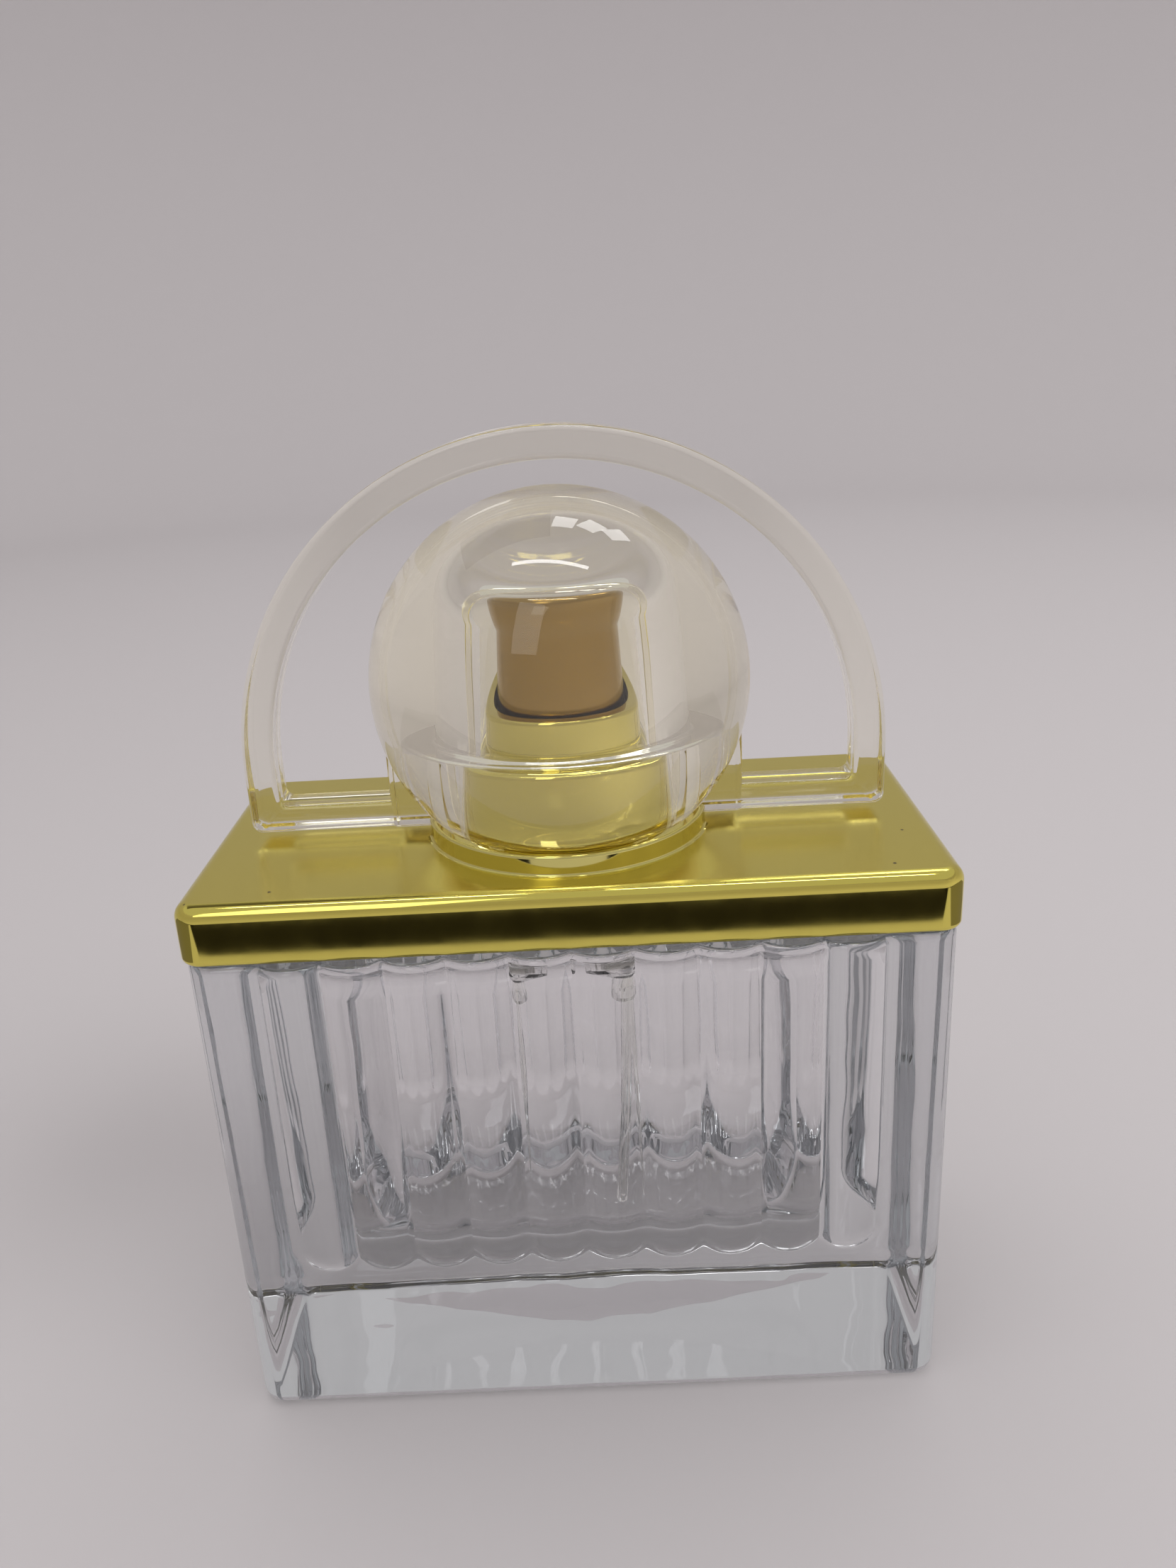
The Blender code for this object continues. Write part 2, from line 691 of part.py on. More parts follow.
def main():
    clear_scene()
    parts = make_collection("perfume_bottle")
    glass = finish("clear flint glass", (222, 228, 224), 0.03, transmission=1.0, ior=1.52)
    gold = finish("gold anodised aluminium", (196, 166, 78), 0.12, metallic=1.0)
    warm_gold = finish("warm gold anodised aluminium", (186, 146, 76), 0.15, metallic=1.0)
    clear = finish("clear acrylic", (236, 233, 218), 0.03, transmission=1.0, ior=1.49)
    plastic = finish("natural polypropylene", (226, 226, 220), 0.45)
    metal = finish("bright aluminium", (200, 200, 202), 0.25, metallic=1.0)
    steel = finish("stainless steel", (190, 190, 190), 0.2, metallic=1.0)
    rubber = finish("black nitrile rubber", (30, 30, 31), 0.6)

    glass_bottle(parts, make_collection, glass)
    shoulder_plate(parts, make_collection, gold)
    collar_shell(parts, gold)
    crimp_pieces(parts, plastic, metal, rubber)
    pump_fixed(parts, plastic, rubber)
    pump_moving(parts, plastic, steel)
    pump_spring(parts, steel)
    dip_tube(parts, make_collection, plastic)
    push_button(parts, make_collection, warm_gold, plastic)
    cap_dome(parts, make_collection, clear)
    cap_handle(parts, clear)


main()
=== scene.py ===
"""Looks of the perfume bottle: ribbed flint glass, gold shoulder, spray pump, clear acrylic cap.

Every new piece is a surface worked out on a grid of two parameters, in millimetres, and set down in
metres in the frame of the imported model. The materials follow, then the floor, light and camera.
"""

import math

import bmesh
import bpy
import numpy as np
from mathutils import Matrix, Vector


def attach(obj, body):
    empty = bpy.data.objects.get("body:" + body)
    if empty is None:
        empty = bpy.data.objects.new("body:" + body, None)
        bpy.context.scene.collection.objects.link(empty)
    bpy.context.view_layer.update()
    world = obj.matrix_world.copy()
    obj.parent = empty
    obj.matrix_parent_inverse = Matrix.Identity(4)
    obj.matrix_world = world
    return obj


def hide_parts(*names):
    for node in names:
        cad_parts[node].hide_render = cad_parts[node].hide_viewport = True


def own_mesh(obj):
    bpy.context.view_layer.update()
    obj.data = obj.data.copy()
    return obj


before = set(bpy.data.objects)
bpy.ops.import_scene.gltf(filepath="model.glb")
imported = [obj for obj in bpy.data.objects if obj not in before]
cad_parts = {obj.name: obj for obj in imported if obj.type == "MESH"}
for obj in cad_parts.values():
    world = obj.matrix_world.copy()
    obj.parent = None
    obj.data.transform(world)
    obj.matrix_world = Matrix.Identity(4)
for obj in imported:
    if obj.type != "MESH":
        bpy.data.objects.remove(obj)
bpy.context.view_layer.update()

MM = 0.001

# Sizes of the visible pieces, in millimetres
GLASS_HALF = (34.8, 16.4)
GLASS_CORNER = 2.6
GLASS_TOP = 51.0
FOOT_ROUND = 1.6
BASE_PUSH = 0.35
SHOULDER_ROUND = 0.7
RIB_COUNT = 10
RIB_PITCH = 5.6
RIB_BULGE = 1.1
RIB_CREASE = 0.15
RIB_FOOT = 17.4
RIB_CROWN = 0.7
HOLLOW_HALF = (27.6, 11.2)
HOLLOW_CORNER = 9.4
HOLLOW_FLOOR = 12.5
HOLLOW_FLOOR_ROUND = 9.0
HOLLOW_ROOF = 48.6
HOLLOW_ROOF_ROUND = 3.0
NECK_TOP = 60.6
NECK_RADIUS = 6.5
BEAD_RADIUS = 7.4
BORE_RADIUS = 4.75
PLATE_HALF = (35.0, 16.85)
PLATE_CORNER = 2.3
PLATE_FOOT = 51.3
PLATE_TOP = 57.1
PLATE_WALL = 1.4
PLATE_ROUND = 1.4
PLATE_HOLE = 9.0
LIP_ROUND = 0.65
SEAT_OUTER = 13.6
SEAT_INNER = 12.0
SEAT_TOP = 59.05
KEY_HALF = 2.5
COLLAR_FOOT = 57.4
COLLAR_STEP = 66.9
COLLAR_TOP = 70.4
COLLAR_LOWER = 9.6
COLLAR_UPPER = 7.5
COLLAR_MOUTH = 6.6
BUTTON_RADIUS = 6.25
BUTTON_FOOT = 69.7
BUTTON_TOP = 79.6
NOZZLE_HEIGHT = 76.2
NOZZLE_RADIUS = 1.6
NOZZLE_BACK = 3.3
SPRING_FOOT = 48.4
SPRING_TOP = 55.0
SPRING_RADIUS = 2.2
SPRING_WIRE = 0.28
SPRING_TURNS = 4
DOME_RADIUS = 18.0
DOME_CENTRE = 71.7
DOME_FOOT = 59.35
DOME_LOWER_BORE = 10.1
DOME_UPPER_BORE = 8.0
DOME_STEP = 67.6
DOME_CEILING = 80.3
LUG = (12.5, 17.1, 2.2, 67.7)  # inner and outer reach, half width, top
CAP_FOOT = 58.0
BAR_TOP = 60.7
ARCH_CENTRE = 64.2
ARCH_OUTER = 30.9
ARCH_INNER = 27.9
ARCH_DEPTH = 4.0

# The photograph's camera, worked out from the plate's corners and the cap
CAMERA_PLACE = (3.36, -112.96, 102.07)
CAMERA_PITCH = 20.07
CAMERA_YAW = 0.62
CAMERA_ROLL = -3.07
FOCAL_PIXELS = 1723.4
FRAME_PIXELS = 2212


# Materials


def linear(code):
    """A colour written as sRGB hex, in linear light."""
    channel = np.array([int(code[i : i + 2], 16) for i in (1, 3, 5)]) / 255
    bent = np.where(channel <= 0.04045, channel / 12.92, ((channel + 0.055) / 1.055) ** 2.4)
    return (*bent.tolist(), 1.0)


def add(tree, kind, sockets=None, **settings):
    """Adds a node. A socket's value is a number, a colour or another node's output to link."""
    made = tree.nodes.new(kind)
    for key, value in settings.items():
        setattr(made, key, value)
    for key, value in (sockets or {}).items():
        if isinstance(value, bpy.types.NodeSocket):
            tree.links.new(value, made.inputs[key])
        else:
            made.inputs[key].default_value = value
    return made


def finish(name, colour, **sockets):
    """A Principled material, its node tree and its shader; sockets use the shader's own names."""
    made = bpy.data.materials.new(name)
    made.use_nodes = True
    shader = made.node_tree.nodes["Principled BSDF"]
    shader.inputs["Base Color"].default_value = linear(colour)
    for key, value in sockets.items():
        shader.inputs[key.replace("_", " ")].default_value = value
    return made, made.node_tree, shader


def per_metre(millimetres):
    """The texture scale that repeats once in that many millimetres."""
    return 1.0 / (millimetres * MM)


def tinted(tree, colour, density):
    """Lets a clear body take up colour with depth: density is what it takes per metre."""
    body = add(tree, "ShaderNodeVolumeAbsorption", {"Color": linear(colour), "Density": density})
    tree.links.new(body.outputs["Volume"], tree.nodes["Material Output"].inputs["Volume"])


def flint_glass():
    """Soda-lime flint glass, pressed in a mould and fire-polished.

    Clear, a little grey where it is thick; its faces ripple where the mould chilled them.
    """
    made, tree, shader = finish(
        "flint glass, fire polished", "#FBFAFB", Roughness=0.0, IOR=1.52, Transmission_Weight=1.0
    )
    place = add(tree, "ShaderNodeTexCoord").outputs["Object"]
    ripple = add(
        tree, "ShaderNodeTexNoise", {"Vector": place, "Scale": per_metre(9), "Detail": 1.0}
    )
    bump = add(
        tree,
        "ShaderNodeBump",
        {"Height": ripple.outputs["Fac"], "Strength": 0.12, "Distance": 0.001},
    )
    tree.links.new(bump.outputs["Normal"], shader.inputs["Normal"])
    tinted(tree, "#C2C8CC", 15.0)
    return made


def clear_acrylic():
    """Cast-clear acrylic, injection moulded and polished.

    Very clear, a touch warm where it is thick, with faint flow waves from the mould.
    """
    made, tree, shader = finish(
        "clear acrylic, moulded", "#FDFBF3", Roughness=0.0, IOR=1.49, Transmission_Weight=1.0
    )
    place = add(tree, "ShaderNodeTexCoord").outputs["Object"]
    flow = add(tree, "ShaderNodeTexNoise", {"Vector": place, "Scale": per_metre(7), "Detail": 1.0})
    bump = add(
        tree,
        "ShaderNodeBump",
        {"Height": flow.outputs["Fac"], "Strength": 0.03, "Distance": 0.001},
    )
    tree.links.new(bump.outputs["Normal"], shader.inputs["Normal"])
    tinted(tree, "#F4E8A8", 7.0)
    return made


def anodised_gold(name, colour, bright, satin=None):
    """Aluminium, bright dipped and anodised gold: a mirror with a faint haze and a few dust specks.

    With satin, faces at the plate's top height are brushed to that roughness instead.
    """
    made, tree, shader = finish(name, colour, Metallic=1.0)
    place = add(tree, "ShaderNodeTexCoord").outputs["Object"]
    haze = add(tree, "ShaderNodeTexNoise", {"Vector": place, "Scale": per_metre(3), "Detail": 4.0})
    rough = add(
        tree,
        "ShaderNodeMapRange",
        {"Value": haze.outputs["Fac"], "To Min": bright * 0.6, "To Max": bright * 1.4},
    ).outputs["Result"]
    if satin:
        height = add(tree, "ShaderNodeSeparateXYZ", {"Vector": place}).outputs["Z"]
        top = add(
            tree,
            "ShaderNodeMapRange",
            {
                "Value": height,
                "From Min": (PLATE_TOP - 0.2) * MM,
                "From Max": (PLATE_TOP - 0.05) * MM,
                "To Max": satin,
            },
        )
        rough = add(
            tree, "ShaderNodeMath", {0: rough, 1: top.outputs["Result"]}, operation="MAXIMUM"
        ).outputs[0]
    cells = add(tree, "ShaderNodeTexVoronoi", {"Vector": place, "Scale": per_metre(4.5)})
    speck = add(
        tree,
        "ShaderNodeMapRange",
        {"Value": cells.outputs["Distance"], "From Min": 0.03, "From Max": 0.045},
    )
    tint = add(
        tree,
        "ShaderNodeMix",
        {"Factor": speck.outputs["Result"], "A": linear("#6E6144"), "B": linear(colour)},
        data_type="RGBA",
    )
    tree.links.new(rough, shader.inputs["Roughness"])
    tree.links.new(tint.outputs["Result"], shader.inputs["Base Color"])
    return made


def moulded_plastic(name, colour, roughness, transmission=0.0):
    """Natural polypropylene or polyethylene, moulded: milky, with a fine satin grain."""
    made, tree, shader = finish(name, colour, IOR=1.5, Transmission_Weight=transmission)
    place = add(tree, "ShaderNodeTexCoord").outputs["Object"]
    grain = add(
        tree, "ShaderNodeTexNoise", {"Vector": place, "Scale": per_metre(0.4), "Detail": 3.0}
    )
    rough = add(
        tree,
        "ShaderNodeMapRange",
        {"Value": grain.outputs["Fac"], "To Min": roughness - 0.08, "To Max": roughness + 0.08},
    )
    tree.links.new(rough.outputs["Result"], shader.inputs["Roughness"])
    return made


def clear_tube():
    """Clear fluoropolymer tube, extruded: hardly bends light, so it all but vanishes in glass."""
    made, tree, shader = finish(
        "clear fluoropolymer tube", "#FCFCFA", IOR=1.34, Transmission_Weight=1.0
    )
    place = add(tree, "ShaderNodeTexCoord").outputs["Object"]
    draw = add(
        tree, "ShaderNodeTexNoise", {"Vector": place, "Scale": per_metre(1.5), "Detail": 1.0}
    )
    rough = add(
        tree, "ShaderNodeMapRange", {"Value": draw.outputs["Fac"], "To Min": 0.0, "To Max": 0.05}
    )
    tree.links.new(rough.outputs["Result"], shader.inputs["Roughness"])
    return made


def drawn_metal(name, colour, roughness):
    """Bright aluminium sheet or steel wire: fine drawing lines run along the piece's height."""
    made, tree, shader = finish(name, colour, Metallic=1.0)
    place = add(tree, "ShaderNodeTexCoord").outputs["Object"]
    stretch = add(tree, "ShaderNodeMapping", {"Vector": place, "Scale": (1.0, 1.0, 0.1)})
    lines = add(
        tree,
        "ShaderNodeTexNoise",
        {"Vector": stretch.outputs["Vector"], "Scale": per_metre(0.3), "Detail": 2.0},
    )
    rough = add(
        tree,
        "ShaderNodeMapRange",
        {"Value": lines.outputs["Fac"], "To Min": roughness * 0.7, "To Max": roughness * 1.3},
    )
    tree.links.new(rough.outputs["Result"], shader.inputs["Roughness"])
    return made


# Surfaces


def arc(centre_r, centre_z, radius, start, end, steps):
    """Points (radius, height) on a circle, angles in degrees from the +radius direction."""
    angle = np.radians(np.linspace(start, end, steps + 1))
    return np.stack([centre_r + radius * np.cos(angle), centre_z + radius * np.sin(angle)], axis=1)


def line(start, end, steps):
    """Evenly spaced points from start to end."""
    return np.linspace(start, end, steps + 1)


def path(*pieces):
    """One run of points from several, without the repeats where they join."""
    run = np.concatenate([np.atleast_2d(np.asarray(piece, float)) for piece in pieces])
    step = np.abs(np.diff(run, axis=0)).max(axis=1)
    return run[np.concatenate([[True], step > 1e-6])]


def mesh_object(name, points, faces, material):
    """A mesh in metres from points in millimetres, welded and facing out."""
    mesh = bpy.data.meshes.new(name)
    mesh.from_pydata((points.reshape(-1, 3) * MM).tolist(), [], faces)
    welded = bmesh.new()
    welded.from_mesh(mesh)
    bmesh.ops.remove_doubles(welded, verts=welded.verts, dist=1e-7)
    bmesh.ops.recalc_face_normals(welded, faces=welded.faces)
    welded.to_mesh(mesh)
    welded.free()
    mesh.materials.append(material)
    made = bpy.data.objects.new(name, mesh)
    bpy.context.scene.collection.objects.link(made)
    return made


def smooth(made, sharp=35.0):
    """Smooth shading that keeps edges sharper than that many degrees and flat faces flat."""
    made.data.shade_smooth()
    made.data.set_sharp_from_angle(angle=math.radians(sharp))
    weigh = made.modifiers.new("flat faces stay flat", "WEIGHTED_NORMAL")
    weigh.keep_sharp = True
    return made


def surface(name, grid, material, ring=False):
    """A closed mesh over a grid of points: rows along the piece, columns round it.

    Columns close on themselves. With ring the rows close as well, and otherwise the first and
    last rows have shrunk to a point or get a face.
    """
    rows, columns = grid.shape[:2]
    number = np.arange(rows * columns).reshape(rows, columns)
    beside = np.roll(number, -1, axis=1)
    last = rows if ring else rows - 1
    above = np.roll(number, -1, axis=0)
    above_beside = np.roll(beside, -1, axis=0)
    corners = np.stack([number, beside, above_beside, above], axis=-1)
    faces = corners[:last].reshape(-1, 4).tolist()
    if not ring:
        ends = [number[0, ::-1], number[-1]]
        points = grid.reshape(-1, 3)
        faces += [end.tolist() for end in ends if np.ptp(points[end], axis=0).max() > 0.01]
    return smooth(mesh_object(name, grid, faces, material))


def place(made, body, slot, *nodes):
    """Lets a piece ride on its body and stand for CAD nodes; slot is not used."""
    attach(made, body)
    if nodes:
        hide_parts(*nodes)
    return made


def turned(profile, steps=96):
    """A grid from (radius, height) points carried round the Z axis: x = r cos a, y = r sin a."""
    angle = np.linspace(0, 2 * np.pi, steps, endpoint=False)
    radius, height = np.asarray(profile, float).T
    x = radius[:, None] * np.cos(angle)
    y = radius[:, None] * np.sin(angle)
    return np.stack([x, y, np.broadcast_to(height[:, None], x.shape)], axis=-1)


def joined(name, operation, made, others):
    """One exact Boolean of a piece with other shapes, which are used up."""
    helpers = bpy.data.collections.new(f"{name}_helpers")
    bpy.context.scene.collection.children.link(helpers)
    for other in others:
        bpy.context.scene.collection.objects.unlink(other)
        helpers.objects.link(other)
    made.modifiers.clear()
    for other in others:
        other.modifiers.clear()
    boolean = made.modifiers.new(operation.lower(), "BOOLEAN")
    boolean.operation = operation
    boolean.solver = "EXACT"
    boolean.operand_type = "COLLECTION"
    boolean.collection = helpers
    bpy.context.view_layer.update()
    graph = bpy.context.evaluated_depsgraph_get()
    mesh = bpy.data.meshes.new_from_object(made.evaluated_get(graph))
    made.modifiers.clear()
    made.data = mesh
    mesh.name = name
    for other in others:
        bpy.data.objects.remove(other, do_unlink=True)
    bpy.data.collections.remove(helpers)
    return smooth(made)


class Outline:
    """A rounded rectangle walked anticlockwise from its front left.

    A point is the share of the straight half lengths (along) plus the corner radius times a unit
    direction (out), so that every size of rectangle has the same number of matching points.
    """

    def __init__(self, front, side, corner):
        quarter = np.radians(np.linspace(0, 90, corner + 2)[1:-1])
        bend = np.stack([np.sin(quarter), -np.cos(quarter)], axis=1)
        one = np.ones_like(quarter)
        front, side = np.asarray(front, float), np.asarray(side, float)
        along = [
            np.stack([front, -np.ones_like(front)], axis=1),
            np.stack([one, -one], axis=1),
            np.stack([np.ones_like(side), side], axis=1),
            np.stack([one, one], axis=1),
        ]
        out = [
            np.broadcast_to((0.0, -1.0), (len(front), 2)),
            bend,
            np.broadcast_to((1.0, 0.0), (len(side), 2)),
            bend[:, ::-1] * (-1.0, 1.0),
        ]
        half_along, half_out = np.concatenate(along), np.concatenate(out)
        self.along = np.concatenate([half_along, -half_along])
        self.out = np.concatenate([half_out, -half_out])

    def boxes(self, half, corner, inset):
        """Rows of outlines, each drawn in by its inset: half lengths and corner radius shrink."""
        inset = np.asarray(inset, float)[:, None, None]
        return self.along * (np.asarray(half, float) - corner) + self.out * (corner - inset)

    def directions(self, half, corner):
        """Unit directions from the middle to the outline's points, for circles that match it."""
        flat = self.boxes(half, corner, [0.0])[0]
        return flat / np.linalg.norm(flat, axis=1, keepdims=True)


def raised(rows, height):
    """Adds a height to each row of flat points."""
    tall = np.broadcast_to(np.asarray(height, float).reshape(-1, 1, 1), (*rows.shape[:2], 1))
    return np.concatenate([rows, tall], axis=-1)


def between(start, end, shares):
    """Rows between two flat loops, each a share of the way from start to end."""
    shares = np.asarray(shares, float)[:, None, None]
    return start * (1 - shares) + end * shares


def rib_rise(across, height, face):
    """How far a rib stands proud of a face at that half depth.

    Each rib is a sunk upright cylinder with a ball foot and a rounded crown: its depth is the
    sunk axis plus the root of radius squared less the squared offsets across and below the ball.
    A soft maximum of neighbours rounds the valley, and one with the face leaves a small fillet.
    """
    half = RIB_PITCH / 2
    radius = (half**2 + RIB_BULGE**2) / (2 * RIB_BULGE)
    axis = GLASS_HALF[1] + RIB_CREASE + RIB_BULGE - radius
    first = -RIB_PITCH * (RIB_COUNT - 1) / 2
    nearest = np.clip(np.round((across - first) / RIB_PITCH), 0, RIB_COUNT - 1)
    aside = across - first - nearest * RIB_PITCH
    neighbour = nearest + np.sign(aside)
    inside = (neighbour >= 0) & (neighbour < RIB_COUNT)
    beyond = np.where(inside, RIB_PITCH - np.abs(aside), radius)
    below = np.maximum(RIB_FOOT + half - height, 0)
    over = np.clip(height - (GLASS_TOP - RIB_CROWN), 0, RIB_CROWN)
    reach = radius - RIB_CROWN + np.sqrt(RIB_CROWN**2 - over**2)
    near, next_one = (
        axis + np.sqrt(np.maximum(reach**2 - offset**2 - below**2, 0)) - face
        for offset in (aside, beyond)
    )
    valley, fillet = 0.3, 0.12
    proud = 0.5 * (near + next_one + np.sqrt((near - next_one) ** 2 + valley**2))
    return 0.5 * (proud + np.sqrt(proud**2 + fillet**2))


def ribbed_glass():
    """The bottle in one skin: base, ribbed outside, shoulder, neck, bore, hollow and its floor.

    Rows run from the middle of the base up the outside, over the neck rim and down the inside.
    """
    panel = RIB_PITCH * RIB_COUNT / 2 / (GLASS_HALF[0] - GLASS_CORNER)
    ribs = np.linspace(-panel, panel, 20 * RIB_COUNT + 1)
    margin = np.linspace(panel, 1.0, 8)[1:]
    outline = Outline(np.concatenate([-margin[::-1], ribs, margin]), np.linspace(-1, 1, 21), 12)

    foot = arc(FOOT_ROUND, FOOT_ROUND, FOOT_ROUND, 270, 180, 12)
    shoulder = arc(SHOULDER_ROUND, GLASS_TOP - SHOULDER_ROUND, SHOULDER_ROUND, 180, 90, 8)
    heights = np.concatenate([[8.0, 14.0], np.linspace(16.4, 21.0, 40), [26.0, 34.0, 42.0, 48.0]])
    wall = np.stack([np.zeros_like(heights), heights], axis=1)
    inset, height = path(foot, wall, shoulder).T
    sides = raised(outline.boxes(GLASS_HALF, GLASS_CORNER, inset), height)
    flat = (outline.out[:, 0] == 0) & (np.abs(outline.along[:, 1]) == 1)
    rise = rib_rise(sides[:, flat, 0], sides[:, flat, 2], np.abs(sides[:, flat, 1]))
    sides[:, flat, 1] += outline.out[flat, 1] * rise

    share = np.append(np.linspace(0, 0.9, 19), 0.97)
    base = sides[:1] * share[:, None, None]
    base[..., 2] = BASE_PUSH * (0.5 + 0.5 * np.cos(np.pi * np.minimum(share / 0.9, 1)))[:, None]
    around = outline.directions(GLASS_HALF, GLASS_CORNER)
    fillet, bead, bore_edge, throat = 1.5, 0.6, 0.4, 2.5
    root = NECK_RADIUS + fillet
    deck = raised(between(sides[-1, :, :2], around * root, [0.1, 0.5, 0.9, 0.99]), [GLASS_TOP])
    neck = path(
        arc(root, GLASS_TOP + fillet, fillet, 270, 180, 6),
        (NECK_RADIUS, NECK_TOP - 3.6),
        (BEAD_RADIUS, NECK_TOP - 2.6),
        arc(BEAD_RADIUS - bead, NECK_TOP - bead, bead, 0, 90, 6),
        arc(BORE_RADIUS + bore_edge, NECK_TOP - bore_edge, bore_edge, 90, 180, 4),
        (BORE_RADIUS, HOLLOW_ROOF + throat),
        arc(BORE_RADIUS + throat, HOLLOW_ROOF + throat, throat, 180, 270, 8),
    )
    spout = raised(around * neck[:, :1, None], neck[:, 1])

    high, low = HOLLOW_ROOF_ROUND, HOLLOW_FLOOR_ROUND
    roof_round = arc(high, HOLLOW_ROOF - high, high, 90, 180, 10)
    floor_round = arc(low, HOLLOW_FLOOR + low, low, 180, 270, 20)
    inset, height = path(roof_round, floor_round).T
    hollow = raised(outline.boxes(HOLLOW_HALF, HOLLOW_CORNER, inset), height)
    roof = raised(between(spout[-1, :, :2], hollow[0, :, :2], [0.05, 0.5, 0.95]), [HOLLOW_ROOF])
    floor = hollow[-1:] * np.array([0.96, 0.6, 0.2, 0.0])[:, None, None]
    floor[..., 2] = HOLLOW_FLOOR
    return np.concatenate([base, sides, deck, spout, roof, hollow, floor])


def plate_shell():
    """The skirted plate: a wall section carried round a rounded rectangle, with the pump hole.

    Rows run from the inner foot out over the lip, up the wall, over the edge round and in across
    the top to the round hole, then back out under the top.
    """
    outline = Outline(np.linspace(-1, 1, 71), np.linspace(-1, 1, 35), 14)
    lip = arc(LIP_ROUND, PLATE_FOOT + LIP_ROUND, LIP_ROUND, 270, 180, 8)
    edge = arc(PLATE_ROUND, PLATE_TOP - PLATE_ROUND, PLATE_ROUND, 180, 90, 16)
    inset, height = path((PLATE_WALL, PLATE_FOOT), lip, edge).T
    outside = raised(outline.boxes(PLATE_HALF, PLATE_CORNER, inset), height)
    hole = outline.directions(PLATE_HALF, PLATE_CORNER) * PLATE_HOLE
    top = raised(between(outside[-1, :, :2], hole, [0.01, 0.1, 0.4, 0.7, 1.0]), [PLATE_TOP])
    inner = outside[0, :, :2]
    under = raised(between(hole, inner, [0.0, 0.5, 1.0]), [PLATE_TOP - PLATE_WALL])
    return np.concatenate([outside, top, under])


def lacquered_underside(plate, material):
    """Gives the inside of the plate its pale lacquer: faces within its wall and below its top."""
    mesh = plate.data
    mesh.materials.append(material)
    centre = np.empty(3 * len(mesh.polygons))
    normal = np.empty(3 * len(mesh.polygons))
    mesh.polygons.foreach_get("center", centre)
    mesh.polygons.foreach_get("normal", normal)
    centre, normal = centre.reshape(-1, 3) / MM, normal.reshape(-1, 3)
    inside = (np.abs(centre[:, :2]) < np.array(PLATE_HALF) - PLATE_WALL + 0.2).all(axis=1)
    low = centre[:, 2] < PLATE_TOP - PLATE_WALL + 0.1
    mesh.polygons.foreach_set("material_index", (inside & low).astype(np.int32))


def seat_arc(start, end):
    """Half of the cap seat: its section carried round from one keyway to the other."""
    low = PLATE_TOP - 0.4
    section = path(
        (SEAT_INNER, low),
        arc(SEAT_INNER + 0.2, SEAT_TOP - 0.2, 0.2, 180, 90, 4),
        arc(SEAT_OUTER - 0.3, SEAT_TOP - 0.3, 0.3, 90, 0, 5),
        arc(SEAT_OUTER + 0.3, PLATE_TOP + 0.3, 0.3, 180, 270, 4),
        (SEAT_OUTER + 0.3, low),
    )
    angle = np.radians(np.linspace(start, end, 97))[:, None]
    x, y = np.cos(angle) * section[:, 0], np.sin(angle) * section[:, 0]
    return np.stack([x, y, np.broadcast_to(section[:, 1], x.shape)], axis=-1)


def handle_bar():
    """The shackle: a rounded section carried along the band between two contours.

    Each station joins a point of the inner contour to one of the outer. The section runs across
    that span and through the depth, and its four edges are quarter circles.
    """
    reach = LUG[1] - 1.5
    outer_round, inner_round = 1.0, 0.8
    foot, nook = CAP_FOOT + outer_round, BAR_TOP + inner_round
    outer = np.concatenate(
        [
            line((reach, CAP_FOOT), (ARCH_OUTER - outer_round, CAP_FOOT), 6)[:-1],
            arc(ARCH_OUTER - outer_round, foot, outer_round, -90, 0, 8)[:-1],
            line((ARCH_OUTER, foot), (ARCH_OUTER, ARCH_CENTRE), 4)[:-1],
            arc(0, ARCH_CENTRE, ARCH_OUTER, 0, 90, 60),
        ]
    )
    inner = np.concatenate(
        [
            line((reach, BAR_TOP), (ARCH_INNER - inner_round, BAR_TOP), 6)[:-1],
            arc(ARCH_INNER - inner_round, nook, inner_round, -90, 0, 8)[:-1],
            line((ARCH_INNER, nook), (ARCH_INNER, ARCH_CENTRE), 4)[:-1],
            arc(0, ARCH_CENTRE, ARCH_INNER, 0, 90, 60),
        ]
    )
    mirror = np.array([-1.0, 1.0])
    outer = np.concatenate([outer, outer[-2::-1] * mirror])
    inner = np.concatenate([inner, inner[-2::-1] * mirror])

    edge = 0.55
    turn = np.radians(np.concatenate([np.linspace(q, q + 90, 6) for q in (180, 270, 0, 90)]))
    at_outer = np.repeat([0.0, 1.0, 1.0, 0.0], 6)
    at_back = np.repeat([-1.0, -1.0, 1.0, 1.0], 6)
    offset = edge * (1 - 2 * at_outer) + edge * np.cos(turn)
    depth = at_back * (ARCH_DEPTH / 2 - edge) + edge * np.sin(turn)
    span = np.linalg.norm(outer - inner, axis=1)[:, None]
    way = (outer - inner) / span
    across = at_outer * span + offset
    x = inner[:, :1] + way[:, :1] * across
    z = inner[:, 1:] + way[:, 1:] * across
    return np.stack([x, np.broadcast_to(depth, x.shape), z], axis=-1)


def lug_block(side):
    """A rounded block under the dome: outlines drawn in at its foot, set to one side."""
    inner, outer, half, top = LUG
    outline = Outline(np.linspace(-1, 1, 5), np.linspace(-1, 1, 5), 5)
    foot = arc(0.4, CAP_FOOT + 0.4, 0.4, 270, 180, 4)
    inset, height = path(foot, (0.0, top)).T
    rows = raised(outline.boxes(((outer - inner) / 2, half), 0.6, inset), height)
    rows[..., 0] += side * (inner + outer) / 2
    return rows


